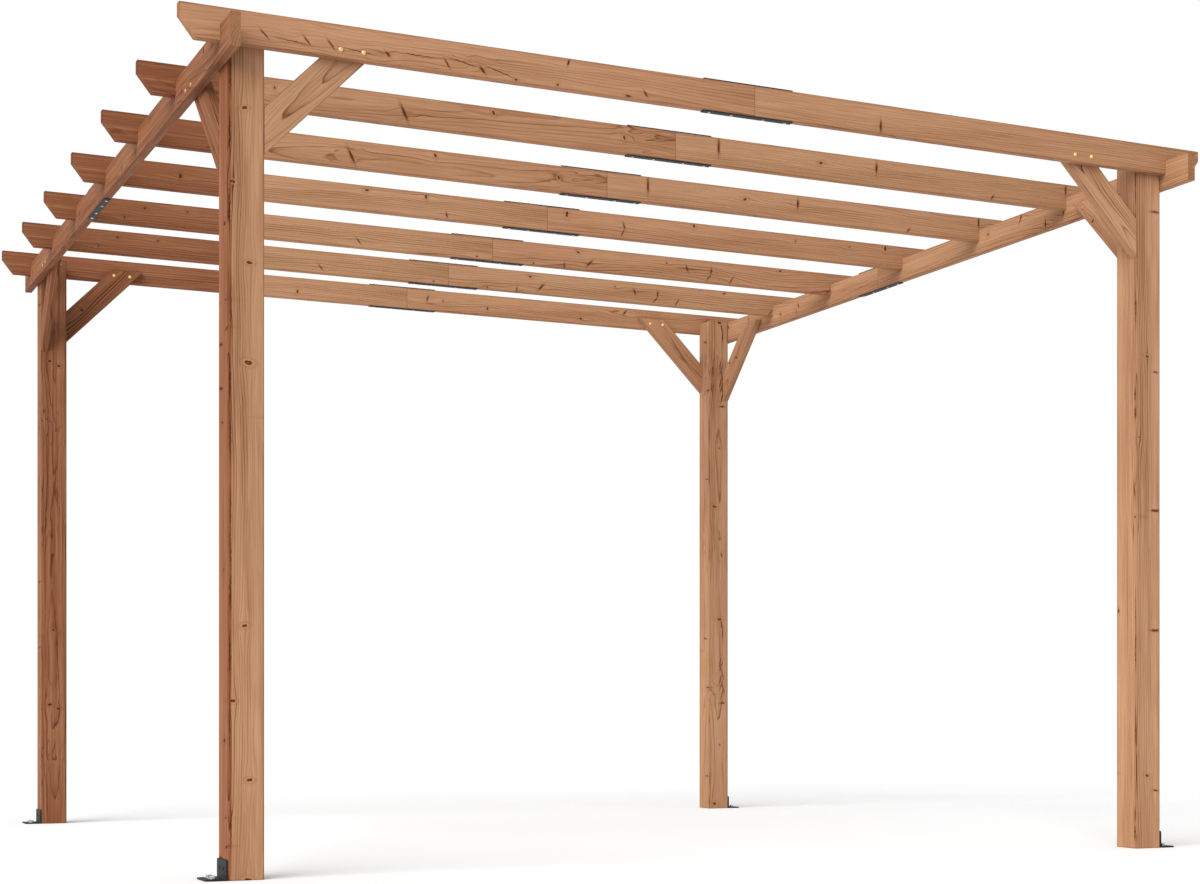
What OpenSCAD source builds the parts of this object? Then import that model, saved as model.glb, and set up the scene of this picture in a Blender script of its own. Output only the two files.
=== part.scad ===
/* [Posts] */
// Width of the square posts
post_w = 90; // [60:1:140]
// Height of the posts, which end level with the tops of the side beams
post_h = 2036; // [1800:1:2600]
// Radius of the eased edges along the posts
post_ease = 5; // [1:0.5:12]

/* [Plan] */
// Width over the outer faces of the posts, along the rafters
span_x = 2810; // [2200:10:3600]
// Depth over the outer faces of the posts, along the side beams
span_y = 2790; // [2400:10:3600]
// Length of every rafter tail beyond its beam, and of every beam beyond its rafter
overhang = 98; // [60:1:180]

/* [Boards] */
// Height of the boards that make the rafters, beams and braces
board_h = 81; // [60:1:120]
// Thickness of those boards
board_t = 24; // [16:1:40]
// Chamfer on the long edges of the boards
board_ease = 1.5; // [0.5:0.5:3]

/* [Rafters] */
// Depth of the notch that seats each rafter over a side beam
notch_d = 41; // [20:1:50]
// Play on each side of the beam in that notch
notch_play = 0.4; // [0.1:0.1:0.9]
// Height of the plumb nose at the end of a rafter tail
nose_h = 31; // [10:1:50]
// Length of the slant under a rafter tail
tail_run = 39; // [15:1:55]
// Distance of the rafter seams to the right of the middle
rafter_seam = 17; // [-60:1:60]
// Distance that the fifth rafter stands behind its even place
fifth_back = 22; // [0:1:40]

/* [Braces] */
// Length of the brace along the rafter or beam, equal to its drop down the post
brace_reach = 290; // [220:1:360]
// Height that a brace laps up the face of its rafter or beam
brace_lap = 40; // [25:1:55]
// Diameter of the bolt holes through a brace and its rafter or beam
bolt_hole = 8; // [5:0.5:10]
// Distance of the outer bolt from the tip of the brace
bolt_tip = 49; // [40:1:60]
// Distance between the two bolts of a brace
bolt_pitch = 58; // [30:1:65]
// Height of the bolts over the underside of the rafter or beam
bolt_up = 20; // [12:1:24]

/* [Splice plates] */
// Length of a splice plate
plate_l = 270; // [160:1:320]
// Width of a splice plate
plate_w = 20; // [12:1:22]
// Thickness of a splice plate
plate_t = 3; // [1.5:0.5:5]
// Clear space between the middle rafter and the plates of the side beams
plate_gap = 2; // [1:1:20]
// Screws in each half of a splice plate
plate_screws = 2; // [2:1:4]
// Distance of the outer screws from the ends of the plate
plate_end = 20; // [8:1:40]
// Distance of the inner screws from the middle of the plate
plate_mid = 48; // [15:1:55]
// Diameter of the screw holes in a splice plate
plate_hole = 5; // [3:0.5:7]

/* [Foot brackets] */
// Height of the bracket leg on the post
bracket_up = 50; // [35:1:80]
// Length of the bracket leg on the ground
bracket_out = 54; // [35:1:80]
// Width of the bracket, as wide as the post
bracket_w = 90; // [44:1:110]
// Thickness of the bracket
bracket_t = 4; // [2:0.5:6]
// Inner radius of the bend
bracket_bend = 3; // [1:0.5:6]
// Radius of the corners of both legs
bracket_corner = 6; // [2:1:10]
// Distance between the two holes in each leg
bracket_pitch = 36; // [20:1:40]
// Diameter of the anchor holes in the ground leg
anchor_hole = 10; // [6:0.5:12]
// Diameter of the screw holes in the post leg
screw_hole = 6; // [4:0.5:8]

/* [Hidden] */
$fn = 48;
wood = "#b58865";
dark_wood = "#a0704f";
steel = "#3c4446";

rafter_n = 7;
middle = 4;
sides = [["left", -1], ["right", 1]];
ends = [["front", -1], ["back", 1]];

// Heights: the beams end level with the posts, the rafters drop over them
beam_z = post_h - board_h;
rafter_z = post_h - notch_d;
rafter_top = rafter_z + board_h;

// Lengths over all
rafter_l = span_x + 2 * board_t + 2 * overhang;
beam_l = span_y + 2 * board_t + 2 * overhang;

// Rafters: the first and the last lie on the outer faces of the posts
rafter_pitch = (span_y + board_t) / (rafter_n - 1);
function rafter_y(i) =
    (i - (rafter_n + 1) / 2) * rafter_pitch + (i == middle + 1 ? fifth_back : 0);

// The beam seam lies behind the middle rafter, so that its plates clear the notch
beam_seam = board_t / 2 + plate_gap + plate_l / 2;

// Braces rise at half a right angle, with their underside this long
brace_slope = 45;
brace_l = brace_reach / cos(brace_slope);

// Length that each cutting shape runs past the piece it cuts
cut = 1;

post_nodes = [for (e = ends, s = sides) str("post_", e[0], "_", s[0])];
bracket_nodes = [for (e = ends, s = sides) str("foot_bracket_", e[0], "_", s[0])];
beam_nodes = [for (s = sides, e = ends) str("beam_", s[0], "_", e[0])];
rafter_nodes = [for (i = [1 : rafter_n], s = sides) str("rafter_", i, "_", s[0])];
rafter_brace_nodes = [for (e = ends, s = sides) str("rafter_brace_", e[0], "_", s[0])];
beam_brace_nodes = [for (e = ends, s = sides) str("beam_brace_", e[0], "_", s[0])];
rafter_plate_nodes = [for (i = [1 : rafter_n]) str("rafter_", i, "_plates")];
beam_plate_nodes = [for (s = sides) str("beam_", s[0], "_plates")];

// Square with round corners, centred
module round_square(w, r) {
    square([w, w - 2 * r], center = true);
    square([w - 2 * r, w], center = true);
    for (x = [-1, 1], y = [-1, 1])
        translate([x * (w / 2 - r), y * (w / 2 - r)]) circle(r);
}

// Section of a planed board with chamfered edges: thickness along X, height up from Y = 0
module board_section() {
    t = board_t / 2;
    e = board_ease;
    polygon([[-t + e, 0], [t - e, 0], [t, e], [t, board_h - e], [t - e, board_h],
        [-t + e, board_h], [-t, board_h - e], [-t, e]]);
}

// Board along X from x0 to x1, its thickness centred on Y = 0, its underside at Z = 0
module board_x(x0, x1) {
    translate([x0, 0, 0]) rotate([90, 0, 90]) linear_extrude(x1 - x0) board_section();
}

// Post of one corner, standing on the ground
module post(sx, sy) {
    color(wood)
        translate([sx * (span_x - post_w) / 2, sy * (span_y - post_w) / 2, 0])
            linear_extrude(post_h) round_square(post_w, post_ease);
}

// Bracket leg from the end of the bend outwards, flat on Z = 0, with two holes
module bracket_leg(l, hole) {
    bend = bracket_t + bracket_bend;
    difference() {
        linear_extrude(bracket_t) {
            translate([bend, -bracket_w / 2]) square([l - bend - bracket_corner, bracket_w]);
            translate([bend, bracket_corner - bracket_w / 2])
                square([l - bend, bracket_w - 2 * bracket_corner]);
            for (y = [-1, 1])
                translate([l - bracket_corner, y * (bracket_w / 2 - bracket_corner)])
                    circle(bracket_corner);
        }
        for (y = [-1, 1])
            translate([(bend + l) / 2, y * bracket_pitch / 2, -cut])
                cylinder(d = hole, h = bracket_t + 2 * cut);
    }
}

// Steel angle: one leg on the outer face of the post, one leg out along the ground
module foot_bracket(sx, sy) {
    bend = bracket_t + bracket_bend;
    color(steel)
        translate([sx * span_x / 2, sy * (span_y - post_w) / 2, 0])
            mirror([sx < 0 ? 1 : 0, 0, 0]) {
                bracket_leg(bracket_out, anchor_hole);
                multmatrix([[0, 0, 1, 0], [0, 1, 0, 0], [1, 0, 0, 0], [0, 0, 0, 1]])
                    bracket_leg(bracket_up, screw_hole);
                translate([bend, bracket_w / 2, bend]) rotate([90, 0, 0])
                    linear_extrude(bracket_w) intersection() {
                        difference() {
                            circle(bend);
                            circle(bracket_bend);
                        }
                        translate([-bend, -bend]) square(bend);
                    }
            }
}

// Places a child at the top of a rafter brace: X runs away from the post, Y through the boards
module at_rafter_brace(sx, sy) {
    translate([sx * (span_x / 2 - post_w), sy * (span_y - board_t) / 2, rafter_z + brace_lap])
        mirror([sx > 0 ? 1 : 0, 0, 0]) children();
}

// Places a child at the top of a beam brace in the same way
module at_beam_brace(sx, sy) {
    translate([sx * (span_x - board_t) / 2, sy * (span_y / 2 - post_w), beam_z + brace_lap])
        mirror([0, sy > 0 ? 1 : 0, 0]) rotate([0, 0, 90]) children();
}

// Bores for the two bolts of a brace, long enough to pass through the brace and its neighbour
module bolt_bores() {
    for (k = [0, 1])
        translate([brace_reach - bolt_tip - k * bolt_pitch, 0, bolt_up - brace_lap])
            rotate([90, 0, 0]) cylinder(d = bolt_hole, h = 4 * board_t, center = true);
}

// Half of a side beam, on the outer face of its posts, with square ends
module beam(sx, sy) {
    end = sy * beam_l / 2;
    color(wood) difference() {
        translate([sx * (span_x + board_t) / 2, 0, beam_z]) rotate([0, 0, 90])
            board_x(min(end, beam_seam), max(end, beam_seam));
        at_beam_brace(sx, sy) bolt_bores();
    }
}

// Half of a rafter, notched over its beam, with a slant cut under its tail
module rafter(i, sx) {
    end = sx * rafter_l / 2;
    slant = board_h - nose_h;
    color(i % 2 == 0 ? dark_wood : wood) difference() {
        translate([0, rafter_y(i), rafter_z]) difference() {
            board_x(min(end, rafter_seam), max(end, rafter_seam));
            translate([sx * (span_x + board_t) / 2, 0, notch_d / 2 - cut])
                cube([board_t + 2 * notch_play, board_t + 2 * cut, notch_d + 2 * cut],
                    center = true);
            translate([end, board_t / 2 + cut, 0]) rotate([90, 0, 0])
                linear_extrude(board_t + 2 * cut)
                    polygon([[sx * cut, -cut], [sx * cut, slant + cut * slant / tail_run],
                        [-sx * tail_run - sx * cut * tail_run / slant, -cut]]);
        }
        if (i == 1) at_rafter_brace(sx, -1) bolt_bores();
        if (i == rafter_n) at_rafter_brace(sx, 1) bolt_bores();
    }
}

// Brace: a sloping board cut plumb where it meets the post and level at its top
module brace() {
    difference() {
        translate([0, 0, -brace_reach]) rotate([0, -brace_slope, 0])
            board_x(-board_h, brace_l + board_h);
        translate([-2 * board_h, -board_t, -2 * brace_reach])
            cube([2 * board_h, 2 * board_t, 3 * brace_reach]);
        translate([-board_h, -board_t, 0])
            cube([2 * brace_reach, 2 * board_t, 2 * board_h]);
        bolt_bores();
    }
}

// Brace between a post and the inner face of the first or last rafter
module rafter_brace(sx, sy) {
    color(dark_wood) at_rafter_brace(sx, sy) brace();
}

// Brace between a post and the inner face of a side beam
module beam_brace(sx, sy) {
    color(dark_wood) at_beam_brace(sx, sy) brace();
}

// Flat plate along X, centred, on Z = 0, with a row of screw holes in each half
module splice_plate() {
    step = (plate_l / 2 - plate_end - plate_mid) / (plate_screws - 1);
    difference() {
        translate([-plate_l / 2, -plate_w / 2, 0]) cube([plate_l, plate_w, plate_t]);
        for (s = [-1, 1], k = [0 : plate_screws - 1])
            translate([s * (plate_mid + k * step), 0, -cut])
                cylinder(d = plate_hole, h = plate_t + 2 * cut);
    }
}

// Plates over and under the seam of a rafter
module rafter_plates(i) {
    color(steel) translate([0, rafter_y(i), 0]) {
        translate([0, 0, rafter_top]) splice_plate();
        translate([0, 0, rafter_z - plate_t]) splice_plate();
    }
}

// Plates over and under the seam of a side beam
module beam_plates(sx) {
    color(steel) translate([sx * (span_x + board_t) / 2, beam_seam, 0]) rotate([0, 0, 90]) {
        translate([0, 0, post_h]) splice_plate();
        translate([0, 0, beam_z - plate_t]) splice_plate();
    }
}

for (e = ends, s = sides) {
    post(s[1], e[1]);
    foot_bracket(s[1], e[1]);
    beam(s[1], e[1]);
    rafter_brace(s[1], e[1]);
    beam_brace(s[1], e[1]);
}
for (i = [1 : rafter_n]) {
    for (s = sides)
        rafter(i, s[1]);
    rafter_plates(i);
}
for (s = sides)
    beam_plates(s[1]);
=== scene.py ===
# %% [markdown]
# # A wooden pergola
# Four square posts carry two side beams, and seven rafters drop over the beams with a notch.
# Short braces stiffen every corner. Each beam and each rafter is two boards joined end to end
# between flat steel plates, and a steel angle holds every post to the ground.
#
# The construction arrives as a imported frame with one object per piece, already in its place.
# This lesson gives the pieces their looks: the timber, the steel, and all the bolts and screws.

# %% Load the frame
import math
import random

import bpy
from mathutils import Euler, Matrix, Vector


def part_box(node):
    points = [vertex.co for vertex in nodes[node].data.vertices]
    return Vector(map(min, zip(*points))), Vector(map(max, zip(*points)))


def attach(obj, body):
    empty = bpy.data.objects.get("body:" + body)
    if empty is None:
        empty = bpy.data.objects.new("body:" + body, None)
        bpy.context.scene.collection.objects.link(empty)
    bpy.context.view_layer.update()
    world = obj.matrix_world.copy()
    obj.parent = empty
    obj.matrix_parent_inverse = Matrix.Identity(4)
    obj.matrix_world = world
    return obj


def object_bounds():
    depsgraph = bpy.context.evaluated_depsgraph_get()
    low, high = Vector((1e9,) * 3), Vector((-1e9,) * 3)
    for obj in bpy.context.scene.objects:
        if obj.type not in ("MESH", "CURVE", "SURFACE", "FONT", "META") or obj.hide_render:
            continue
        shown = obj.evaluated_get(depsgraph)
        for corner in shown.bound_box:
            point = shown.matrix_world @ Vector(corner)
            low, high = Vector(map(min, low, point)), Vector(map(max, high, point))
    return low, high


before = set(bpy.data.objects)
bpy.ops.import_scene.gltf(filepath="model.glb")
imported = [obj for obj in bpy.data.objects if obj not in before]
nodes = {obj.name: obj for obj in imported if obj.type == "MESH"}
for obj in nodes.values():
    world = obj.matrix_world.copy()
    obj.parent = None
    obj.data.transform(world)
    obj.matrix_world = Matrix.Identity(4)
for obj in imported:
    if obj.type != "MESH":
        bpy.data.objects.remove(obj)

cad_low, cad_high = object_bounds()
print("pieces:", len(nodes), " size in metres:", [round(s, 3) for s in cad_high - cad_low])

# %% [markdown]
# ## The camera
# The picture was taken from low down, at about knee height, and all posts stand plumb in it.
# So the camera looks level, and the lens is shifted upwards to take in the roof.
# Tilting the camera instead would make the posts lean together.

# %% Camera
# Pixels of the picture.
FRAME_W, FRAME_H = 1200, 884
FOCAL_PX = 2008.2
HORIZON_PX = 711.6
# Metres in the shared frame, degrees to the right of straight back, millimetres of film.
CAMERA_AT = (-2.5992, -6.1214, 0.4042)
TURN = 24.682
FILM_W = 36.0

lens = bpy.data.cameras.new("camera")
lens.sensor_fit = "HORIZONTAL"
lens.sensor_width = FILM_W
lens.lens = FOCAL_PX / FRAME_W * FILM_W
lens.shift_y = (HORIZON_PX - FRAME_H / 2) / FRAME_W
lens.clip_start, lens.clip_end = 0.1, 200.0
camera = bpy.data.objects.new("camera", lens)
camera.location = CAMERA_AT
camera.rotation_euler = (math.radians(90), 0, math.radians(-TURN))
bpy.context.scene.collection.objects.link(camera)
bpy.context.scene.camera = camera
print("lens", round(lens.lens, 2), "mm, shift", round(lens.shift_y, 4))

# %% [markdown]
# ## Colours and wiring
# Colours are easier to judge as the numbers a picture editor shows, from 0 to 255, but a shader
# works in linear light. `tone` translates one into the other.
# The materials below are long recipes, so a small helper adds a node, fills its sockets and
# links whatever comes from another node.

# %% Colour and wiring helpers
def tone(r, g, b):
    """A picture editor's colour as linear light."""
    return tuple(((c / 255 + 0.055) / 1.055) ** 2.4 for c in (r, g, b)) + (1.0,)


def grey(level):
    return (level, level, level, 1.0)


class Recipe:
    """One material that is wired up step by step."""

    def __init__(self, name):
        self.material = bpy.data.materials.new(name)
        self.material.use_nodes = True
        self.tree = self.material.node_tree
        self.tree.nodes.clear()

    def node(self, kind, sockets=(), **settings):
        """Adds a node, sets it up, and fills its sockets by name or number."""
        made = self.tree.nodes.new("ShaderNode" + kind)
        for key, value in settings.items():
            setattr(made, key, value)
        for key, value in dict(sockets).items():
            if isinstance(value, bpy.types.NodeSocket):
                self.tree.links.new(value, made.inputs[key])
            else:
                made.inputs[key].default_value = value
        return made

    def calc(self, how, *values):
        return self.node("Math", enumerate(values), operation=how).outputs[0]

    def times(self, a, b):
        return self.calc("MULTIPLY", a, b)

    def sum(self, value, times, plus):
        return self.calc("MULTIPLY_ADD", value, times, plus)

    def bell(self, square):
        """1 at the middle, falling off on all sides; takes the square of the distance."""
        return self.calc("EXPONENT", self.times(square, -1.0))

    def vec(self, how, *values):
        made = self.node("VectorMath", enumerate(values), operation=how)
        return made.outputs["Value" if how in ("LENGTH", "DOT_PRODUCT") else "Vector"]

    def split(self, vector):
        return self.node("SeparateXYZ", {0: vector}).outputs

    def fade(self, value, at_zero, at_one):
        """0 where the value is at_zero, 1 where it is at_one, with a soft passage between."""
        return self.node("MapRange", {0: value, 1: at_zero, 2: at_one, 3: 0.0, 4: 1.0},
                         interpolation_type="SMOOTHSTEP").outputs[0]

    def noise(self, place, stretch=(1, 1, 1), detail=2.0):
        """Soft random values from 0 to 1; stretch says how fast they change along each axis."""
        scaled = self.vec("MULTIPLY", place, stretch)
        return self.node("TexNoise", {"Vector": scaled, "Scale": 1.0, "Detail": detail}).outputs[0]

    def mix(self, amount, a, b, how="MIX"):
        return self.node("Mix", {0: amount, 6: a, 7: b}, data_type="RGBA",
                         blend_type=how).outputs[2]

    def ramp(self, value, *stops):
        made = self.node("ValToRGB", {0: value})
        marks = made.color_ramp.elements
        while len(marks) < len(stops):
            marks.new(0.5)
        for mark, (at, colour) in zip(marks, stops):
            mark.position, mark.color = at, colour
        return made.outputs[0]

    def bump(self, height, depth, strength):
        return self.node("Bump", {"Height": height, "Distance": depth,
                                  "Strength": strength}).outputs[0]

    def close(self, shader):
        end = self.node("OutputMaterial")
        self.tree.links.new(shader, end.inputs[0])
        return self.material

    def paint(self, sockets):
        """Ends the recipe with a Principled shader."""
        return self.close(self.node("BsdfPrincipled", sockets).outputs[0])


print("mid wood in linear light:", [round(c, 3) for c in tone(176, 130, 97)[:3]])

# %% [markdown]
# ## The floor
# The object stands alone on white. The floor could be a plain sheet, but its far edge would draw
# a horizon. So it is a pale disc that thins out towards its rim until nothing of it is left.
# It is almost white, because the undersides of the rafters are nearly as bright as their sides:
# much of their light comes back up from the ground.

# %% Floor
FLOOR_RIM, FLOOR_CORE, RIM_POINTS = 14.0, 4.0, 96
FLOOR_DROP = 0.0005
THIN_FROM, THIN_TO = 3.2, 11.0


def ring_of(radius):
    turns = [2 * math.pi * k / RIM_POINTS for k in range(RIM_POINTS)]
    return [(radius * math.cos(a), radius * math.sin(a), 0.0) for a in turns]


disc = bpy.data.meshes.new("floor")
band = [(k, (k + 1) % RIM_POINTS, RIM_POINTS + (k + 1) % RIM_POINTS, RIM_POINTS + k)
        for k in range(RIM_POINTS)]
core = tuple(range(RIM_POINTS, 2 * RIM_POINTS))
disc.from_pydata(ring_of(FLOOR_RIM) + ring_of(FLOOR_CORE), [], band + [core])
floor = bpy.data.objects.new("floor", disc)
floor.location.z = -FLOOR_DROP
bpy.context.scene.collection.objects.link(floor)

r = Recipe("pale_floor")
place = r.node("TexCoord").outputs["Object"]
far = r.fade(r.vec("LENGTH", place), THIN_FROM, THIN_TO)
cloud = r.noise(place, (0.7, 0.7, 0.7), 3.0)
shade = r.ramp(cloud, (0.3, grey(0.94)), (0.7, grey(0.97)))
matt = r.node("BsdfDiffuse", {"Color": shade}).outputs[0]
clear = r.node("BsdfTransparent").outputs[0]
floor.data.materials.append(r.close(r.node("MixShader", {0: far, 1: matt, 2: clear}).outputs[0]))
print("floor of", len(disc.polygons), "faces, clear beyond", THIN_TO, "m")

# %% [markdown]
# ## The light
# One broad lamp stands to the left and in front, because the faces turned to the left are the
# brightest. The rest is even light from all round. The camera sees that sky as pure white, while
# the object gets less of it, or the shaded faces would wash out.

# %% Light
SKY = 0.62
# How strong the lamp is, how many degrees it spans, and which way its light goes.
KEY_POWER, KEY_SPREAD = 3.3, 55
KEY_WAY = (0.74, 0.50, -0.45)

sky = bpy.data.worlds.new("studio")
sky.use_nodes = True
bpy.context.scene.world = sky
wires = sky.node_tree
wires.nodes.clear()
light_path = wires.nodes.new("ShaderNodeLightPath")
level = wires.nodes.new("ShaderNodeMapRange")
level.inputs[3].default_value, level.inputs[4].default_value = SKY, 1.0
wires.links.new(light_path.outputs["Is Camera Ray"], level.inputs[0])
glow = wires.nodes.new("ShaderNodeBackground")
glow.inputs["Color"].default_value = grey(1.0)
wires.links.new(level.outputs[0], glow.inputs["Strength"])
wires.links.new(glow.outputs[0], wires.nodes.new("ShaderNodeOutputWorld").inputs[0])

key = bpy.data.objects.new("key_light", bpy.data.lights.new("key_light", "SUN"))
key.data.energy = KEY_POWER
key.data.angle = math.radians(KEY_SPREAD)
key.rotation_euler = Vector(KEY_WAY).to_track_quat("-Z", "Y").to_euler()
bpy.context.scene.collection.objects.link(key)
bpy.context.scene.view_settings.view_transform = "Standard"
print("sky", SKY, "key", KEY_POWER)

# %% [markdown]
# ## Where each board lies in its log
# Wood looks right when its pattern runs through the solid, so that the end grain fits the faces.
# Every board therefore gets its own frame: along the grain, through the thickness, across the
# width. A post's grain runs up, a rafter's along X, a beam's along Y, and a brace's on a slope.

# %% Frames of the boards
RIGHT_ANGLE = math.pi / 2
BOARD_H, BOARD_T = 0.081, 0.024


def board_frame(name):
    """Middle, turn and half sizes (along, thick, wide) of a wooden piece."""
    low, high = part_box(name)
    middle, half = (low + high) / 2, (high - low) / 2
    if name.startswith("post"):
        return middle, Euler((0, -RIGHT_ANGLE, 0)), (half.z, half.y, half.x)
    if "brace" in name:
        slope = RIGHT_ANGLE / 2
        if name.startswith("rafter"):
            turn = Euler((0, -slope if "left" in name else slope - math.pi, 0))
            run = half.x
        else:
            turn = Euler((0, -slope, RIGHT_ANGLE if "front" in name else -RIGHT_ANGLE))
            run = half.y
        wide = Vector((0, 0, 1))
        wide.rotate(turn)
        rise = wide if wide.z > 0 else -wide
        return middle + rise * BOARD_H / 2, turn, (run * math.sqrt(2), BOARD_T / 2, BOARD_H / 2)
    if name.startswith("beam"):
        return middle, Euler((0, 0, RIGHT_ANGLE)), (half.y, half.x, half.z)
    return middle, Euler((0, 0, 0)), (half.x, half.y, half.z)


wooden = [n for n in nodes if "plates" not in n and "bracket" not in n]
brace_middle = board_frame("rafter_brace_front_left")[0]
print("boards:", len(wooden), " a brace lies at", [round(v, 3) for v in brace_middle])

# %% [markdown]
# ## Where the knots are
# A knot is the stub of a branch: a dark plug that starts at the heart of the log and comes out at
# a face. Many knots on this frame are small ovals. Others were sawn lengthwise and show as dark
# slits, and there are splits along the grain. They could all be scattered at random, but the large
# ones give each board its character, so those stand where the picture shows them.
# The pattern of a post comes back further up, so only one stretch of it is listed.

# %% Knot map
# Kinds of knot, as half length and half width in millimetres. The long thin ones are slits.
PIN, OVAL, PLUG = (4, 3), (7, 4), (10, 5.5)
NICK, STROKE, SLASH, GASH, RIFT = (10, 3), (15, 2.3), (13, 3.8), (18, 4.2), (26, 4.5)
WAVE, HAIR, CRACK, RENT = (50, 1.2), (70, 1.6), (60, 2.2), (24, 2.8)

# Millimetres along the board and across it, the kind, and degrees of slant. Rafters are measured
# from the left end and down from the top. Posts are measured up from the ground, across the front
# from the right edge, and across the left face from the front edge.
KNOT_MAP = {
    "rafter_1": [(205, 50, STROKE, 45), (310, 50, STROKE, 50), (370, 52, STROKE, 50),
                 (515, 56, NICK, 45), (670, 58, STROKE, 55), (765, 62, SLASH, 50),
                 (270, 57, WAVE, 5), (440, 59, WAVE, 5), (595, 48, WAVE, 0),
                 (715, 50, WAVE, 10), (810, 60, WAVE, 15), (855, 74, PIN, 0),
                 (970, 72, PIN, 130), (1000, 12, NICK, 100), (1170, 75, NICK, 0),
                 (1220, 63, NICK, 55), (1940, 60, GASH, 90)],
    "rafter_2": [(360, 26, PIN, 90), (720, 47, RIFT, 65), (980, 15, OVAL, 75),
                 (1380, 36, OVAL, 80), (1685, 26, RIFT, 90), (2030, 34, OVAL, 170),
                 (2225, 28, GASH, 90), (2650, 70, NICK, 125), (2930, 18, GASH, 90)],
    "rafter_4": [(325, 35, OVAL, 90), (920, 14, OVAL, 170), (1120, 14, OVAL, 90),
                 (1190, 66, NICK, 80), (1615, 19, PLUG, 95), (1825, 37, SLASH, 70),
                 (1820, 60, STROKE, 115), (2090, 10, OVAL, 80), (2490, 23, PIN, 90),
                 (2710, 23, PIN, 0), (2860, 13, PLUG, 90)],
    "rafter_5": [(255, 58, PIN, 50), (320, 23, PIN, 0), (460, 21, PIN, 0),
                 (1050, 58, STROKE, 50), (1485, 70, PIN, 0), (1700, 74, PIN, 0),
                 (1820, 71, NICK, 95), (1875, 18, OVAL, 20), (1920, 54, GASH, 135),
                 (2230, 25, PIN, 0), (2315, 37, SLASH, 70), (2415, 38, SLASH, 95),
                 (2405, 62, STROKE, 130), (2500, 64, STROKE, 125), (2710, 10, OVAL, 0),
                 (2920, 69, STROKE, 130)],
    "rafter_7": [(1100, 53, OVAL, 105), (1630, 35, SLASH, 110), (1695, 39, PIN, 100),
                 (1885, 54, OVAL, 100), (2295, 60, OVAL, 25), (2445, 19, PIN, 0),
                 (2495, 19, SLASH, 130), (2875, 26, SLASH, 150)],
    "post_front_left": {
        "front": [(0, 40, PLUG, 80), (240, 37, OVAL, 90), (430, 78, OVAL, 85),
                  (610, 49, OVAL, 100), (130, 82, HAIR, 0), (370, 85, HAIR, 0),
                  (545, 85, CRACK, 0), (690, 84, CRACK, 0), (790, 84, CRACK, 0),
                  (890, 84, CRACK, 0), (1060, 84, HAIR, 0), (1195, 85, CRACK, 0)],
        "left": [(50, 66, GASH, 85), (80, 13, SLASH, 105), (150, 16, OVAL, 90),
                 (335, 31, PLUG, 95), (745, 38, OVAL, 0), (1100, 51, NICK, 85),
                 (1185, 66, GASH, 80)]},
    "post_front_right": {
        "front": [(170, 17, NICK, 85), (215, 49, OVAL, 75), (645, 20, GASH, 90),
                  (1000, 19, GASH, 90), (1215, 77, PIN, 70)],
        "left": [(45, 5, RENT, 0), (100, 5, RENT, 0), (360, 4, HAIR, 0), (590, 4, HAIR, 0),
                 (705, 79, OVAL, 5), (710, 4, HAIR, 0), (940, 12, RENT, 0), (980, 5, PIN, 0),
                 (1060, 8, RENT, 5)]},
    "post_back_left": {
        "front": [(415, 29, OVAL, 80), (430, 60, OVAL, 95), (700, 47, PIN, 85)],
        "left": [(637, 35, GASH, 90), (875, 37, GASH, 90)]},
    "post_back_right": {
        "front": [(20, 65, PLUG, 80), (265, 41, PIN, 90), (440, 29, SLASH, 95),
                  (790, 41, PLUG, 90), (475, 30, RENT, 165), (505, 25, RENT, 15),
                  (520, 31, RENT, 160), (540, 36, RENT, 165), (560, 27, RENT, 20),
                  (575, 31, RENT, 10), (595, 33, RENT, 160), (610, 38, RENT, 170),
                  (730, 27, RENT, 175), (765, 30, RENT, 10), (1060, 32, NICK, 10)],
        "left": [(135, 18, NICK, 90), (505, 12, SLASH, 90), (710, 34, SLASH, 80)]},
}
KNOT_MAP["rafter_3"], KNOT_MAP["rafter_6"] = KNOT_MAP["rafter_2"], KNOT_MAP["rafter_5"]
for free_of_knots in ("front_left", "front_right", "back_right"):
    KNOT_MAP["rafter_brace_" + free_of_knots] = []
# Millimetres after which the knots of a post come back.
POST_REPEAT = 1241
print("rafters, posts and braces in the map:", len(KNOT_MAP))

# %% [markdown]
# The rows of the map become knots in the frame of each board. A branch goes right through a thin
# board. In a post it is a plug that reaches a little way in, and every face has its own rows.
# Faces that the picture hides and boards that the map leaves out draw theirs by lot.

# %% Knots of a board
MM = 0.001
THROUGH, PLUG_DEPTH = 0.2, 0.022
SLIT_RATIO = 2.3
KNOTS_PER_METRE = {"post": 3.5, "board": 4.0}
OVAL_SHARE = 0.62
# Millimetres by which a knot may lie past the end of its board and still show.
OVERHANG = 10


def chance_knots(luck, length, width, per_metre):
    """Rows like those of the map, drawn by lot: about five ovals for every three slits."""
    rows = []
    for _ in range(max(2, round(length * per_metre))):
        along = luck.uniform(0.08, 0.92) * length / MM
        across = luck.uniform(0.12, 0.88) * width / MM
        if luck.random() < OVAL_SHARE:
            kind = luck.uniform(4.5, 8.5), luck.uniform(3.0, 4.8)
            rows.append((along, across, kind, luck.uniform(70, 110)))
        else:
            kind = luck.uniform(11, 20), luck.uniform(2.4, 4.2)
            rows.append((along, across, kind, luck.uniform(55, 125)))
    return rows


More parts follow.
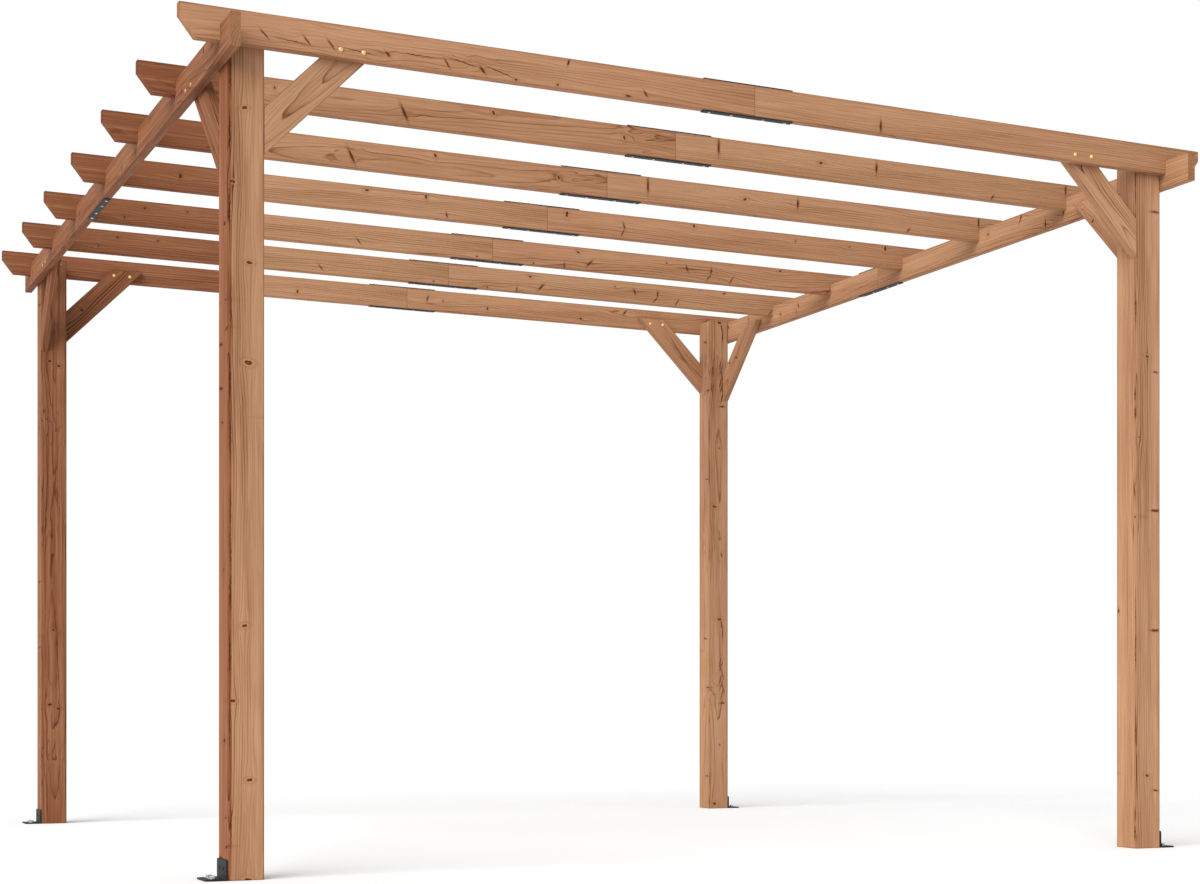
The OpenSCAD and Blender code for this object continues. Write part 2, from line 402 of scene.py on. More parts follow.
def post_knots(name, luck, half):
    """The knots of a post, face by face; what the map lists comes back further up."""
    length, made = 2 * half[0], []
    for face in ("front", "left", "back", "right"):
        rows = KNOT_MAP[name].get(face)
        if rows:
            rows = rows + [(along + POST_REPEAT, *rest) for along, *rest in rows]
        else:
            rows = chance_knots(luck, length, 2 * half[2], KNOTS_PER_METRE["post"])
        for along, across, (long, short), slant in rows:
            if along * MM >= length:
                continue
            a, c, slope = along * MM - half[0], across * MM - half[2], math.radians(slant)
            if face in ("front", "back"):
                depth = -half[1] if face == "front" else half[1]
                knot = (a, depth, c), (0, -slope, 0), (long * MM, PLUG_DEPTH, short * MM)
            else:
                depth = half[2] if face == "left" else -half[2]
                knot = (a, c, depth), (0, 0, slope), (long * MM, short * MM, PLUG_DEPTH)
            made.append((*knot, long > SLIT_RATIO * short))
    return made


def knots_of(name, luck):
    """The knots of one piece in its own frame: centre, turn, half sizes, and whether it is a slit."""
    middle, _, half = board_frame(name)
    if name.startswith("post"):
        return post_knots(name, luck, half)
    length = 2 * half[0]
    rows = KNOT_MAP.get(name if "brace" in name else name.rsplit("_", 1)[0])
    if rows is None:
        rows = chance_knots(luck, length, 2 * half[2], KNOTS_PER_METRE["board"])
    else:
        start = cad_low.x / MM - (middle.x - half[0]) / MM
        rows = [(along + start, *rest) for along, *rest in rows]
        rows = [row for row in rows if -OVERHANG < row[0] < length / MM + OVERHANG]
    made = []
    for along, across, (long, short), slant in rows:
        centre = (along * MM - half[0], 0.0, half[2] - across * MM)
        sizes = (long * MM, THROUGH, short * MM)
        made.append((centre, (0, math.radians(slant), 0), sizes, long > SLIT_RATIO * short))
    return made


print("knots on the first rafter:", len(knots_of("rafter_1_left", random.Random(1))), "left,",
      len(knots_of("rafter_1_right", random.Random(1))), "right")

# %% [markdown]
# ## Knots in the grain
# Each knot is an ellipsoid in the board's own frame. A Mapping node set to Texture moves, turns
# and scales the space so that the knot becomes a ball of radius one, and the length of the vector
# then says how far a point is from it, in knot sizes. Around a knot the fibres part like water
# round a stone: the place of each point is pulled towards the knot before the rings are drawn.
# Only the splits that run along the grain leave it straight.

# %% Knot helpers
# Metres along the grain and beside the knot in which the fibres part. A longer knot adds to the
# first, up to a limit.
PART_LONG, PART_SIDE = 0.030, 0.016
PART_MORE, LARGE_KNOT = 3, 0.008
PUSH = 0.8
# A slit whose slant has a smaller sine than this runs along the grain.
STRAIGHT = 0.4


def ball_space(r, place, centre, twist, sizes):
    return r.node("Mapping", {"Vector": place, "Location": centre, "Rotation": twist,
                              "Scale": sizes}, vector_type="TEXTURE").outputs[0]


def nearest(r, place, knots):
    """Distance to the nearest knot, in knot sizes."""
    found = None
    for centre, twist, sizes, _ in knots:
        away = r.vec("LENGTH", ball_space(r, place, centre, twist, sizes))
        found = r.calc("MINIMUM", found, away) if found else away
    return found


def parted(r, place, knots, is_post):
    """The place each point would have if no knot had pushed the fibres apart."""
    moved = place
    for centre, twist, sizes, slit in knots:
        slant = max(abs(math.sin(angle)) for angle in twist)
        if slit and slant < STRAIGHT:
            continue
        reach = PART_LONG + PART_MORE * min(sizes[0], LARGE_KNOT)
        ball = ball_space(r, place, centre, (0, 0, 0),
                          (reach, PART_SIDE if is_post else THROUGH, PART_SIDE))
        fall = r.bell(r.vec("DOT_PRODUCT", ball, ball))
        side = PUSH * PART_SIDE
        push = r.vec("MULTIPLY", ball, (0.0, side if is_post else 0.0, side))
        push = r.node("VectorMath", {0: push, 3: fall}, operation="SCALE").outputs[0]
        moved = r.vec("SUBTRACT", moved, push)
    return moved


print("a knot reaches", PLUG_DEPTH, "m into a post")

# %% [markdown]
# ## Growth rings
# A softwood log is a bundle of rings: pale early wood that darkens into a thin line of late wood.
# A board is a slice of that bundle. The distance from the heart of the log, divided by the width
# of a ring, says where in a ring each point lies. The heart wanders a little along the log, and
# that alone draws the long loops on the faces of the boards. In a few places the picture shows
# lively curls, and there the rings ripple more. The front rafter braces have finer rings.

# %% Growth rings
# Metres along the board, and how far the curls reach from there.
CURLS = {"post_back_right": [(0.54, 0.09), (1.11, 0.08), (1.79, 0.10)],
         "post_back_left": [(0.25, 0.08), (0.47, 0.07), (0.70, 0.06), (1.08, 0.10), (1.46, 0.09)],
         "rafter_1_left": [(0.40, 0.20), (0.75, 0.12)],
         "rafter_2_left": [(0.72, 0.06), (1.44, 0.08)],
         "rafter_3_left": [(0.72, 0.06), (1.44, 0.08)],
         "rafter_7_right": [(0.10, 0.08), (1.00, 0.15)]}
# Sawn beside the heart, as the braces are too.
FLAT_SAWN = ("rafter_2_left", "rafter_3_left")
WANDER, POST_SWAY, BOARD_SWAY = 0.9, 0.05, 0.07
RIPPLE = (7.0, 34.0, 34.0)
CALM, LIVELY = 0.006, 0.030
RING_WIDTH, FINE_RINGS = (0.0056, 0.0074), 0.6
# Far from the heart, the rings of the front posts are faint.
FAINT_AT, CLEAR_AT = 0.080, 0.030
# Place in a ring, and how dark it is there.
RING_TONES = ((0.0, 0.0), (0.12, 0.06), (0.62, 0.12), (0.82, 0.4), (0.92, 1.0), (1.0, 0.0))


def heart_of(name, luck):
    """Where the heart of the log lies, beside the middle of the board: through it and across it."""
    if name.startswith("post_front"):
        return -0.052, 0.056
    if name.startswith("post"):
        return luck.uniform(-0.006, 0.006), luck.uniform(-0.008, 0.008)
    if name in FLAT_SAWN or "brace" in name:
        return 0.034, luck.uniform(-0.020, 0.030)
    through = luck.choice((-1, 1)) * luck.uniform(0.012, 0.045)
    return through, luck.choice((-1, 1)) * luck.uniform(0.042, 0.075)


def growth(r, name, luck, place, along):
    """How far each point is on its way from early to late wood, from 0 to 1."""
    heart = heart_of(name, luck)
    sway = POST_SWAY if name.startswith("post") else BOARD_SWAY
    wander = r.node("TexNoise", {"W": r.sum(along, WANDER, luck.uniform(0, 90)), "Scale": 1.0,
                                 "Detail": 1.0}, noise_dimensions="1D").outputs[1]
    shifted = r.vec("MULTIPLY_ADD", wander, (0.0, sway, sway), place)
    spoke = r.vec("SUBTRACT", shifted, (0.0, heart[0] + sway / 2, heart[1] + sway / 2))
    radius = r.vec("LENGTH", r.vec("MULTIPLY", spoke, (0.0, 1.0, 1.0)))
    swing = CALM
    for at, reach in CURLS.get(name, ()):
        gap = r.sum(along, 1 / reach, (board_frame(name)[2][0] - at) / reach)
        swing = r.sum(r.bell(r.times(gap, gap)), LIVELY, swing)
    ripple = r.calc("SUBTRACT", r.noise(place, RIPPLE, 2.0), 0.5)
    ring_width = luck.uniform(*RING_WIDTH)
    if name.startswith("rafter_brace_front"):
        ring_width *= FINE_RINGS
    rings = r.calc("DIVIDE", r.sum(ripple, swing, radius), ring_width)
    each = r.node("TexWhiteNoise", {"W": r.calc("FLOOR", rings)}, noise_dimensions="1D").outputs[0]
    dark = r.ramp(r.calc("FRACT", rings), *((at, grey(level)) for at, level in RING_TONES))
    late = r.times(dark, r.sum(each, 0.7, 0.3))
    if name.startswith("post_front"):
        late = r.times(late, r.sum(r.fade(radius, FAINT_AT, CLEAR_AT), 0.8, 0.2))
    return late


print("boards with curls:", len(CURLS))

# %% [markdown]
# ## The timber
# The frame was stained a warm reddish brown that lets the grain through. The recipe lays the
# late wood over pale early wood and adds fibres, streaks and cloudy patches, each at its own scale
# and all drawn out along the board. A ramp then turns the sum into four tones of stain.

# %% Grain
LIGHT, MID, LATE, DEEP = tone(190, 147, 113), tone(160, 117, 86), tone(122, 79, 52), tone(78, 45, 26)
# How often the pattern changes in a metre: along the grain, through the board and across it.
FIBRE, STREAK = (9.0, 300.0, 300.0), (2.2, 150.0, 150.0)
CLOUD, VIVID = (2.0, 14.0, 14.0), (1.1, 22.0, 22.0)
# What each of them adds to the depth of the stain.
FIBRE_DARK, STREAK_DARK, CLOUD_DARK = 0.44, 0.27, 0.44
# Boards that took less stain, or more where the value is negative, and how dark the rings are.
# The first name that fits a board counts.
PALER = {"rafter_brace_front": 0.09, "rafter_1_left": 0.03, "rafter_2_right": 0.02,
         "rafter_3_left": 0.02, "rafter_3_right": 0.015, "rafter_4_left": 0.10,
         "rafter_5_left": 0.07, "rafter_5_right": -0.025, "rafter_6_left": 0.07,
         "rafter_6_right": 0.03, "rafter_7_left": 0.105}
RING_DARK = {"rafter_1": 0.46, "rafter_2": 0.50, "rafter_3": 0.50, "rafter_brace_back_left": 1.3,
             "rafter_brace_front_left": 0.74, "rafter_brace_front_right": 0.90,
             "rafter_brace": 0.62, "rafter": 0.75, "post_front": 1.0, "post_back_left": 0.80,
             "beam_left": 0.42}
PLAIN_RINGS = 0.62


def first_fit(table, name, otherwise):
    """The value of the first entry that the name starts with."""
    return next((value for part, value in table.items() if name.startswith(part)), otherwise)


def grain(r, name, luck, place, flowing, along):
    """Late wood, fibres, streaks, clouds, and the stain tone that they add up to."""
    late = growth(r, name, luck, flowing, along)
    fibre = r.noise(flowing, FIBRE, 3.0)
    streak = r.noise(flowing, STREAK, 3.0)
    cloud = r.noise(place, CLOUD, 2.0)
    vivid = r.fade(r.noise(flowing, VIVID, 2.0), 0.30, 0.66)
    late = r.times(late, r.sum(vivid, 0.80, 0.22))
    start = luck.uniform(-0.34, -0.31) - first_fit(PALER, name, 0.0)
    depth = r.sum(late, first_fit(RING_DARK, name, PLAIN_RINGS), start)
    depth = r.sum(fibre, FIBRE_DARK, depth)
    depth = r.sum(streak, STREAK_DARK, depth)
    depth = r.sum(cloud, CLOUD_DARK, depth)
    colour = r.ramp(depth, (0.0, LIGHT), (0.34, MID), (0.68, LATE), (1.0, DEEP))
    return late, fibre, streak, cloud, colour


print("stain from", [round(c, 3) for c in LIGHT[:3]], "to", [round(c, 3) for c in DEEP[:3]])

# %% [markdown]
# Softwood this long is often glued up from shorter staves, so the tone steps a little along
# a board. Edges and saw cuts drank more stain and are darker, and end grain is a trace redder.

# %% Staves and edges
EDGE, SAW_CUT = (0.66, 0.56, 0.50, 1.0), (0.52, 0.44, 0.40, 1.0)
END_GRAIN = (0.97, 0.94, 0.91, 1.0)
STAVES_PER_METRE, STAVE_STEP = 1.1, 0.012
POST_EDGE, BOARD_EDGE, EDGE_CORE = 0.0075, 0.0055, 0.001
CUT_REACH, CUT_CORE, CUT_STRENGTH = 0.0022, 0.0006, 0.6


def stave_tint(r, luck, along):
    """A tone for each length between two glue joints."""
    cells = r.node("TexVoronoi", {"W": r.sum(along, STAVES_PER_METRE, luck.uniform(0, 90)),
                                  "Scale": 1.0, "Randomness": 0.8},
                   voronoi_dimensions="1D").outputs["Color"]
    warm = luck.uniform(-0.02, 0.02)
    darker = (1 - STAVE_STEP + warm, 1 - 1.1 * STAVE_STEP, 1 - 1.2 * STAVE_STEP, 1.0)
    lighter = (1 + STAVE_STEP + warm, 1 + STAVE_STEP, 1 + STAVE_STEP, 1.0)
    return r.ramp(r.split(cells)[0], (0.0, darker), (1.0, lighter))


def edge_dark(r, colour, place, half, streak, name):
    along, thick, wide = r.split(place)
    side_gap = r.calc("SUBTRACT", half[1], r.calc("ABSOLUTE", thick))
    top_gap = r.calc("SUBTRACT", half[2], r.calc("ABSOLUTE", wide))
    reach = POST_EDGE if name.startswith("post") else BOARD_EDGE
    edge = r.fade(r.calc("MAXIMUM", side_gap, top_gap), reach, EDGE_CORE)
    colour = r.mix(r.times(edge, r.sum(streak, 1.1, -0.05)), colour, EDGE, "MULTIPLY")
    if "brace" not in name:
        cut_gap = r.calc("SUBTRACT", half[0], r.calc("ABSOLUTE", along))
        cut = r.times(r.fade(cut_gap, CUT_REACH, CUT_CORE), CUT_STRENGTH)
        colour = r.mix(cut, colour, SAW_CUT, "MULTIPLY")
    return colour


def end_dark(r, colour, turn):
    grain_way = Vector((1, 0, 0))
    grain_way.rotate(turn)
    outward = r.node("NewGeometry").outputs["Normal"]
    end_on = r.calc("ABSOLUTE", r.vec("DOT_PRODUCT", outward, grain_way))
    return r.mix(r.fade(end_on, 0.55, 0.9), colour, END_GRAIN, "MULTIPLY")


print("edge tone", EDGE[:3])

# %% [markdown]
# The left rear of the frame is painted darker and redder: this is painted shade. A soft line
# from the front left post towards the back divides it from the rest, so the tone follows the
# place of each point in the whole frame and not its place on the board. The forward-facing end
# of the left beam gets none of this painted shade, and the outer side of the back left post gets
# less of it. The painted shade is also drawn more strongly along the streaks.

# %% Painted shade on the left rear
# Painted shade: the left rear is multiplied by these tones to draw it darker and redder; the second
# is for the front left post.
PAINTED_SHADE_TONE, PAINTED_SHADE_RED = (0.53, 0.37, 0.315, 1.0), (0.60, 0.37, 0.285, 1.0)
# The outer front corner of the front left post, and how far the line runs inwards for each metre
# to the back.
FRONT_LEFT = (-1.405, -1.395)
LEAN = 0.26
# How far clouds move the line, and where the painted shade is absent and where it is full, in metres.
SHARP_LINE, SOFT_LINE = (0.006, 0.014, 0.009), (0.03, 0.105, -0.015)
# How much weaker the painted shade is on the outer side of the back left post, which light reaches.
LESS_SHADE_OUTSIDE = -0.18
# How much painted shade the streaks add, and how much lies under all of it.
SHADE_ON_STREAKS, SHADE_BASE = 1.0, 0.46


def painted_shade_share(name):
    """How strongly the painted shade shows on a board, from 0 to 1."""
    if name.startswith("rafter") and "brace" not in name:
        return 1.0 if name.endswith("left") and "_1_" not in name else 0.0
    if "right" in name or name == "rafter_brace_front_left":
        return 0.0
    return first_fit({"beam_left": 0.85, "post_front_left": 0.80}, name, 0.9)


# Lays painted shade over the left rear of the frame.
def painted_shade(r, colour, world, cloud, streak, name):
    share = painted_shade_share(name)
    if not share:
        return colour
    x, y, _ = r.split(world)
    line = r.sum(y, -LEAN, r.calc("SUBTRACT", x, FRONT_LEFT[0] - LEAN * FRONT_LEFT[1]))
    waver, unshaded_at, shaded_at = SHARP_LINE if name == "post_front_left" else SOFT_LINE
    shaded = r.fade(r.sum(cloud, waver, line), unshaded_at, shaded_at)
    facing_x, facing_y, _ = r.split(r.node("NewGeometry").outputs["Normal"])
    # The forward-facing end face of the left beam gets no painted shade, so it stays light.
    if name == "beam_left_front":
        shaded = r.times(shaded, r.fade(facing_y, -0.9, -0.5))
    # The outer face of the back left post gets less painted shade, so it is lighter.
    if name == "post_back_left":
        shaded = r.times(shaded, r.sum(r.fade(facing_x, -0.5, -0.9), LESS_SHADE_OUTSIDE, 1.0))
    shade_amount = r.times(shaded, r.sum(streak, SHADE_ON_STREAKS * share, SHADE_BASE * share))
    return r.mix(shade_amount, colour, PAINTED_SHADE_RED if name == "post_front_left" else PAINTED_SHADE_TONE, "MULTIPLY")


print("damp boards:", sum(painted_shade_share(n) > 0 for n in wooden))

# %% [markdown]
# Now the pieces of the recipe come together, one material for each board, because each board
# comes from its own log. The knots go on top of the grain: a dark core in a pale eye, inside
# a halo of late wood. Late wood stands a little proud, since the soft wood between weathers away.

# %% Timber
KNOT, KNOT_RIM, KNOT_EYE = tone(60, 29, 13), tone(122, 69, 36), tone(196, 150, 113)
SLIT = tone(84, 44, 22)
JAGGED = 0.005
# Where a tone begins and where it is full, in knot sizes, and how strong it is.
HALO, EYE, SLIT_HALO = (3.4, 1.2, 0.34), (2.0, 1.3, 0.34), (2.2, 0.8, 0.35)


def tinted(r, colour, away, zone, stain):
    """Stains a zone round the knots."""
    begins, full, strength = zone
    return r.mix(r.times(r.fade(away, begins, full), strength), colour, stain)


def with_knots(r, colour, place, cloud, knots):
    """Paints ovals and slits; a fine noise makes their outlines jagged."""
    rough_edge = r.node("TexNoise", {"Vector": place, "Scale": 130.0, "Detail": 2.0}).outputs[1]
    centred = r.vec("SUBTRACT", place, 3 * (JAGGED / 2,))
    jagged = r.vec("MULTIPLY_ADD", rough_edge, 3 * (JAGGED,), centred)
    ovals, slits = [k for k in knots if not k[3]], [k for k in knots if k[3]]
    if ovals:
        away = nearest(r, jagged, ovals)
        colour = tinted(r, colour, away, HALO, LATE)
        colour = tinted(r, colour, away, EYE, KNOT_EYE)
        core = r.ramp(away, (0.2, KNOT_RIM), (0.55, KNOT), (1.0, KNOT_RIM))
        colour = r.mix(r.fade(away, 1.25, 0.75), colour, core)
    if slits:
        away = nearest(r, jagged, slits)
        colour = tinted(r, colour, away, SLIT_HALO, LATE)
        crack = r.times(r.fade(away, 1.2, 0.45), r.fade(cloud, 0.25, 0.5))
        colour = r.mix(crack, colour, SLIT)
    return colour


def timber(name):
    luck = random.Random(name)
    middle, turn, half = board_frame(name)
    r = Recipe("timber_" + name)
    world = r.node("TexCoord").outputs["Object"]
    place = r.node("Mapping", {"Vector": world, "Location": middle, "Rotation": turn},
                   vector_type="TEXTURE").outputs[0]
    along = r.split(place)[0]
    knots = knots_of(name, luck)
    flowing = parted(r, place, knots, name.startswith("post"))
    late, fibre, streak, cloud, colour = grain(r, name, luck, place, flowing, along)
    colour = r.mix(1.0, colour, stave_tint(r, luck, along), "MULTIPLY")
    colour = with_knots(r, colour, place, cloud, knots)
    colour = edge_dark(r, colour, place, half, streak, name)
    # The left rear gets its painted shade here.
    colour = painted_shade(r, end_dark(r, colour, turn), world, cloud, streak, name)
    rough = r.sum(late, -0.10, r.sum(fibre, 0.18, 0.52))
    relief = r.sum(fibre, 0.5, r.times(late, 0.7))
    return r.paint({"Base Color": colour, "Roughness": rough, "Specular IOR Level": 0.06,
                    "Normal": r.bump(relief, 0.0014, 0.7)})


for name in wooden:
    nodes[name].data.materials.clear()
    nodes[name].data.materials.append(timber(name))
shader_nodes = sum(len(nodes[n].data.materials[0].node_tree.nodes) for n in wooden)
print("timber on", len(wooden), "boards,", shader_nodes, "shader nodes")

# %% [markdown]
# ## The steel
# The splice plates are dark blued strip, and the foot brackets are painted black. Both carry
# a fine cloudiness, faint rolling marks and a few rubbed spots where the bare metal shows.

# %% Plates and brackets
RUBBED = tone(92, 98, 100)
BLUED = tone(18, 22, 24), tone(38, 43, 45)
BLACK = tone(11, 13, 14), tone(29, 32, 33)
CLOUDS, SPOTS = 3 * (14.0,), 3 * (90.0,)


def dark_steel(name, tones, metal, rough, rolled):
    """A dark finish between two tones; rolled says how often the rolling marks change."""
    low, high = tones
    r = Recipe(name)
    place = r.node("TexCoord").outputs["Object"]
    cloud = r.noise(place, CLOUDS, 4.0)
    marks = r.noise(place, rolled, 3.0)
    rubbed = r.fade(r.noise(place, SPOTS, 4.0), 0.66, 0.78)
    mood = r.sum(marks, 0.5, r.times(cloud, 0.6))
    colour = r.ramp(mood, (0.3, low), (0.8, high))
    colour = r.mix(r.times(rubbed, 0.6), colour, RUBBED)
    return r.paint({"Base Color": colour, "Metallic": metal, "Specular IOR Level": 0.25,
                    "Roughness": r.sum(cloud, 0.22, r.sum(rubbed, -0.12, rough)),
                    "Normal": r.bump(r.sum(cloud, 0.6, marks), 0.0004, 0.3)})


plate_along_x = dark_steel("plate_steel_along_x", BLUED, 0.15, 0.42, (6.0, 300.0, 300.0))
plate_along_y = dark_steel("plate_steel_along_y", BLUED, 0.15, 0.42, (300.0, 6.0, 300.0))
black_paint = dark_steel("bracket_paint", BLACK, 0.0, 0.46, (160.0, 160.0, 160.0))
for name, piece in nodes.items():
    if name in wooden:
        continue
    plate = plate_along_y if name.startswith("beam") else plate_along_x
    piece.data.materials.clear()
    piece.data.materials.append(black_paint if "bracket" in name else plate)
print("steel on", len(nodes) - len(wooden), "pieces")

# %% [markdown]
# ## Turned fasteners
# Bolts, washers, nuts and screws all come off a lathe or a header, so one helper turns a profile
# round an axis. A six-sided nut is the same turning with its radius held inside a hexagon, which
# also draws the curved chamfers of a real nut. A cross recess is pressed into the top rings.

# %% Turning helpers
SHARP = math.radians(32)
# How steeply a recess deepens from the end of an arm and from its side.
END_SLOPE, WALL_SLOPE = 2.2, 3.0
EASE_BELOW, EASE_ABOVE = 0.0002, 0.0003


def hexagon(half_across):
    """The radius of a hexagon at an angle."""
    return lambda a: half_across / math.cos((a % (math.pi / 3)) - math.pi / 6)


def cross(half_wide, half_long, deep):
    """The depth of a cross recess at a point."""
    def depth(x, y):
        best = 0.0
        for u, v in ((abs(x), abs(y)), (abs(y), abs(x))):
            if u < half_long and v < half_wide:
                end, wall = END_SLOPE * (1 - u / half_long), WALL_SLOPE * (1 - v / half_wide)
                best = max(best, deep * min(1.0, end) * min(1.0, wall))
        return best
    return depth


class Batch:
    """Turned shapes that end up in one mesh."""

    def __init__(self):
        self.points, self.faces = [], []

    def turn(self, where, profile, sides=36, limit=None, recess=None):
        """Spins (radius, height) pairs round the Z axis of the matrix where."""
        start = len(self.points)
        for radius, height in profile:
            for k in range(sides):
                a = 2 * math.pi * k / sides
                spoke = min(radius, limit(a)) if limit else radius
                x, y = spoke * math.cos(a), spoke * math.sin(a)
                sunk = recess(x, y) if recess else 0.0
                self.points.append(where @ Vector((x, y, height - sunk)))
        for i in range(len(profile) - 1):
            for k in range(sides):
                a, b = start + i * sides + k, start + i * sides + (k + 1) % sides
                self.faces.append((a, b, b + sides, a + sides))
        last = start + (len(profile) - 1) * sides
        self.faces.append(tuple(reversed(range(start, start + sides))))
        self.faces.append(tuple(range(last, last + sides)))

    def piece(self, name, slot, material):
        mesh = bpy.data.meshes.new(name)
        mesh.from_pydata(self.points, [], self.faces)
        mesh.polygons.foreach_set("use_smooth", [True] * len(mesh.polygons))
        mesh.set_sharp_from_angle(angle=SHARP)
        mesh.materials.append(material)
        made = bpy.data.objects.new(name, mesh)
        bpy.context.scene.collection.objects.link(made)
        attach(made, "root")


def facing(at, way):
    """A matrix at a point, with its Z axis along a direction."""
    return Matrix.Translation(at) @ Vector(way).to_track_quat("Z", "Y").to_matrix().to_4x4()


def dome(radius, rise, foot, rings=9):
    """The profile of a mushroom head: a short upright rim, then a part of a ball."""
    arc = [(radius * math.cos(t), foot + rise * math.sin(t)) for t in
           (math.pi / 2 * k / rings for k in range(rings))]
    return [(radius * 0.97, 0.0), (radius, foot * 0.4)] + arc + [(radius * 0.04, foot + rise)]


def washer(bore, radius, thick, lift):
    """The profile of a washer with eased edges; lift is the height of the lower one."""
    return [(bore, 0.0), (radius - EASE_BELOW, 0.0), (radius, lift), (radius, thick - EASE_ABOVE),
            (radius - EASE_ABOVE, thick), (bore, thick)]


print("a dome has", len(dome(0.0075, 0.0034, 0.0008)), "rings")

# %% [markdown]
# ## Brass and zinc
# The bolt heads on the rafters catch the light as small yellow dots, so they are yellow plated.
# Those on the beams get a darker, browner copy of the brass, which is painted shade. The ground
# anchors are bright zinc, and the plate screws have a duller coat of it. All of them are slightly
# mottled.

# %% Plated finishes
FOG, FLECKS = 3 * (170.0,), 3 * (900.0,)


def plated(name, bright, dull, metal, rough):
    r = Recipe(name)
    place = r.node("TexCoord").outputs["Object"]
    fog = r.noise(place, FOG, 4.0)
    fleck = r.noise(place, FLECKS, 2.0)
    colour = r.ramp(r.sum(fleck, 0.3, fog), (0.45, bright), (0.9, dull))
    return r.paint({"Base Color": colour, "Metallic": metal, "Roughness": r.sum(fog, 0.3, rough),
                    "Normal": r.bump(fleck, 0.0002, 0.2)})


brass = plated("bolt_brass", tone(244, 218, 156), tone(214, 172, 104), 0.40, 0.24)
# A darker, browner copy of the brass for the beam bolts: painted shade.
shaded_brass = plated("bolt_brass_painted_shade", tone(206, 156, 116), tone(150, 102, 72), 0.30, 0.34)
zinc = plated("anchor_zinc", tone(240, 242, 243), tone(196, 200, 203), 1.0, 0.10)
dull_zinc = plated("screw_zinc", tone(208, 211, 213), tone(142, 146, 149), 1.0, 0.18)
black_screw = dark_steel("screw_black", (tone(15, 17, 18), tone(35, 39, 40)), 0.0, 0.46,
                         (200.0, 200.0, 200.0))
print("finishes:", brass.name, shaded_brass.name, zinc.name, dull_zinc.name, black_screw.name)

# %% [markdown]
# ## Bolts through the braces
# Two mushroom-head bolts hold the top of each brace. The heads lie on the front of the rafters and
# on the left of the beams, and a washer and a nut close the bolt on the other side.
# The heads of the back pair show on the braces, because there the brace is on the near side.

# %% Brace bolts
BOLT_FROM_POST = (0.183, 0.241)
BOLT_UP = 0.020
STACK = 2 * BOARD_T
HEAD = dome(0.0056, 0.0030, 0.0009)
BOLT_WASHER = washer(0.0032, 0.0090, 0.0016, 0.0002)
NUT = [(0.0030, 0.0016), (0.0050, 0.0016), (0.0056, 0.0020), (0.0058, 0.0024), (0.0058, 0.0058),
       (0.0056, 0.0062), (0.0050, 0.0066), (0.0034, 0.0066)]
NUT_HALF = 0.0050
SHANK_R, ROOT_R, THREAD_FROM, PITCH, THREAD_TURNS = 0.0030, 0.00275, 0.0055, 0.0005, 8
THREAD = [(0.0028, 0.0016)]
for k in range(THREAD_TURNS):
    crest = THREAD_FROM + k * PITCH
    THREAD += [(SHANK_R, crest), (ROOT_R, crest + PITCH / 2)]
THREAD.append((0.0024, 0.0100))
# The shank ends just inside the boards on both sides.
SHANK_INSIDE, SHANK_SHORTER = 0.0005, 0.0008


def brace_bolt(batch, at, way):
    """A bolt with its head at a point, looking along way; the nut is one stack of boards behind."""
    batch.turn(facing(at, way), HEAD)
    behind = facing(Vector(at) - Vector(way) * STACK, [-c for c in way])
    batch.turn(behind, BOLT_WASHER)
    batch.turn(behind, NUT, 48, hexagon(NUT_HALF))
    batch.turn(behind, THREAD, 24)
    shank = facing(Vector(at) - Vector(way) * (STACK - SHANK_INSIDE), way)
    batch.turn(shank, [(SHANK_R, 0.0), (SHANK_R, STACK - SHANK_SHORTER)], 24)


corners = [(end, side) for end in ("front", "back") for side in ("left", "right")]
for end, side in corners:
    low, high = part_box(f"rafter_brace_{end}_{side}")
    rafter_low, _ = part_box(f"rafter_{1 if end == 'front' else 7}_{side}")
    batch = Batch()
    for gap in BOLT_FROM_POST:
        x = low.x + gap if side == "left" else high.x - gap
        y = min(low.y, rafter_low.y)
        brace_bolt(batch, (x, y, rafter_low.z + BOLT_UP), (0, -1, 0))
    batch.piece(f"rafter_brace_{end}_{side}_bolts", "bolt_brass", brass)

    low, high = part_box(f"beam_brace_{end}_{side}")
    beam_low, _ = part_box(f"beam_{side}_{end}")
    batch = Batch()
    for gap in BOLT_FROM_POST:
        y = low.y + gap if end == "front" else high.y - gap
        x = min(low.x, beam_low.x)
        brace_bolt(batch, (x, y, beam_low.z + BOLT_UP), (-1, 0, 0))
    # The beam bolts take the brass copy with painted shade.
    batch.piece(f"beam_brace_{end}_{side}_bolts", "bolt_brass", shaded_brass)
print("brace bolts:", 4 * len(corners))

# %% [markdown]
# ## Screws in the splice plates
# Each plate has four pan-head screws with a cross recess. On the underside they look down.

# %% Plate screws
SCREW_AT = (0.048, 0.115)
SCREW_R, SCREW_RISE = 0.0046, 0.0026
# Shares of the head's radius and rise, from the rim up to the flat, and then the rings of the flat.
PAN_OUTLINE = ((0.94, 0.0), (1.0, 0.12), (0.99, 0.38), (0.93, 0.66), (0.80, 0.87), (0.66, 0.96))
PAN_RINGS = (0.58, 0.50, 0.42, 0.35, 0.28, 0.21, 0.15, 0.09, 0.03)
PAN_CROWN = 0.04
ARM_WIDE, ARM_LONG, ARM_DEEP = 0.13, 0.56, 0.75


def pan_screw(batch, where, radius, rise, seed):
    twist = Matrix.Rotation(random.Random(seed).uniform(0, math.pi), 4, "Z")
    outline = [(radius * out, rise * up) for out, up in PAN_OUTLINE]
    inner = [(radius * out, rise * (1.0 - PAN_CROWN * out)) for out in PAN_RINGS]
    recess = cross(radius * ARM_WIDE, radius * ARM_LONG, rise * ARM_DEEP)
    batch.turn(where @ twist, outline + inner, 48, None, recess)


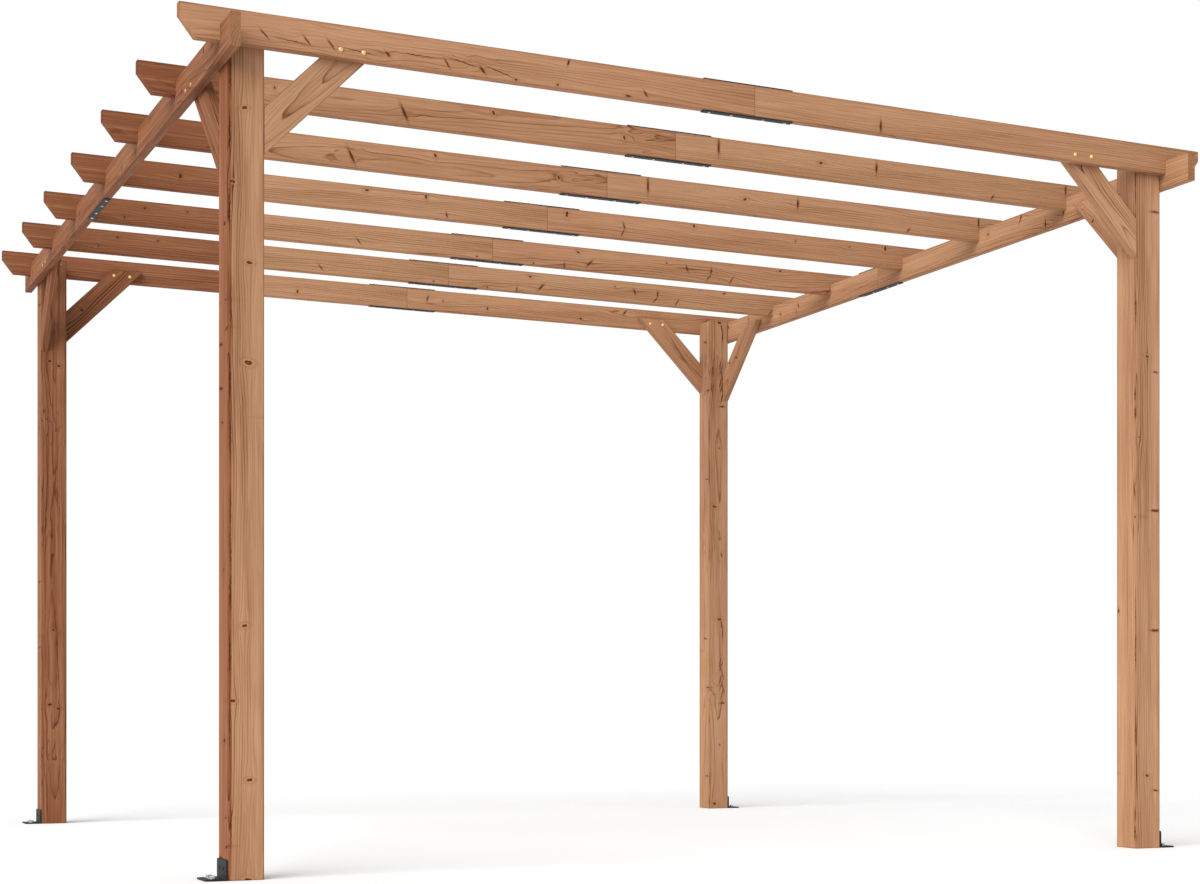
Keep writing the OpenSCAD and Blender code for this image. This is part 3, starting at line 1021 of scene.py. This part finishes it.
for name in nodes:
    if not name.endswith("plates"):
        continue
    low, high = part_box(name)
    mid = (low + high) / 2
    way = Vector((1, 0, 0)) if name.startswith("rafter") else Vector((0, 1, 0))
    batch = Batch()
    for gap in SCREW_AT:
        for s in (-1, 1):
            for z, up in ((high.z, 1), (low.z, -1)):
                at = Vector((mid.x, mid.y, z)) + way * gap * s
                seed = f"{name}{gap}{s}{up}"
                pan_screw(batch, facing(at, (0, 0, up)), SCREW_R, SCREW_RISE, seed)
    batch.piece(name.replace("plates", "screws"), "screw_zinc", dull_zinc)
print("plate screws:", 8 * sum(n.endswith("plates") for n in nodes))

# %% [markdown]
# ## Ground anchors
# Two hexagon bolts on washers hold each bracket to the ground, and two black screws hold its
# upright leg to the post. In the picture the bolts are the bright spots beside the feet.

# %% Ground anchors
# Thickness, pitch of the holes, where the bend ends, and how far the legs go out and up.
BRACKET_T, BRACKET_PITCH, BRACKET_BEND = 0.004, 0.036, 0.007
BRACKET_OUT, BRACKET_UP = 0.054, 0.050
ANCHOR_WASHER = washer(0.0042, 0.0100, 0.0018, 0.0003)
ANCHOR_HEAD = [(0.0060, 0.0018), (0.0064, 0.0019), (0.0075, 0.0022), (0.0075, 0.0064),
               (0.0068, 0.0070), (0.0060, 0.0074), (0.0030, 0.0075)]
ANCHOR_HALF = 0.0065
LEG_SCREW_R, LEG_SCREW_RISE = 0.0050, 0.0016

for end, side in corners:
    low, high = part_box(f"foot_bracket_{end}_{side}")
    s = -1 if side == "left" else 1
    face_x = high.x if side == "left" else low.x
    mid_y = (low.y + high.y) / 2
    anchors, screws = Batch(), Batch()
    for t in (-1, 1):
        y = mid_y + t * BRACKET_PITCH / 2
        foot = facing((face_x + s * (BRACKET_BEND + BRACKET_OUT) / 2, y, BRACKET_T), (0, 0, 1))
        anchors.turn(foot, ANCHOR_WASHER)
        anchors.turn(foot, ANCHOR_HEAD, 48, hexagon(ANCHOR_HALF))
        leg = facing((face_x + s * BRACKET_T, y, (BRACKET_BEND + BRACKET_UP) / 2), (s, 0, 0))
        pan_screw(screws, leg, LEG_SCREW_R, LEG_SCREW_RISE, f"{end}{side}{t}")
    anchors.piece(f"foot_bracket_{end}_{side}_anchors", "screw_zinc", zinc)
    screws.piece(f"foot_bracket_{end}_{side}_screws", "bracket_steel", black_screw)
print("anchors:", 2 * len(corners))
